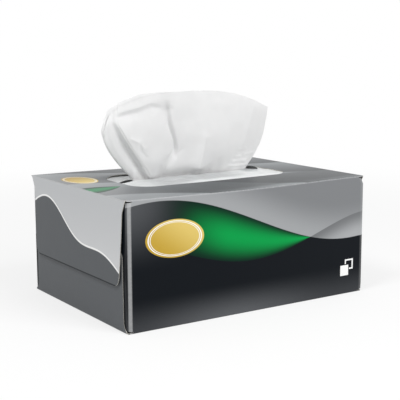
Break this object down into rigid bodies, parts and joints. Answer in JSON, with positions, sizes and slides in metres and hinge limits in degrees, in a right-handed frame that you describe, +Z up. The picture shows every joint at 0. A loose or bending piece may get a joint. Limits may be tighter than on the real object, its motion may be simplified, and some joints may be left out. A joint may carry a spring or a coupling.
{
  "type": "tissue box",
  "caption": "Flat rectangular pop-up tissue box: a glued paperboard carton with a slit film under its top mouth and a soft white sheet standing up out of the slit.",
  "frame": {"origin": "on the base plane, under the middle of the carton", "axes": "+Z up out of the mouth, +X along the carton's length, front panel facing -Y"},
  "size_m": [0.189, 0.134, 0.1405],
  "materials": {
    "printed_board": "satin varnish over charcoal and silver print",
    "hot_melt": "waxy",
    "film": "milky clear film",
    "tissue": "soft matt"
  },
  "bodies": {
    "root": {"carton": "printed_board", "end_glue": "hot_melt", "seam_glue": "hot_melt", "slit_film": "film", "tissue_stack": "tissue", "raised_tissue": "tissue"}
  },
  "joints": []
}
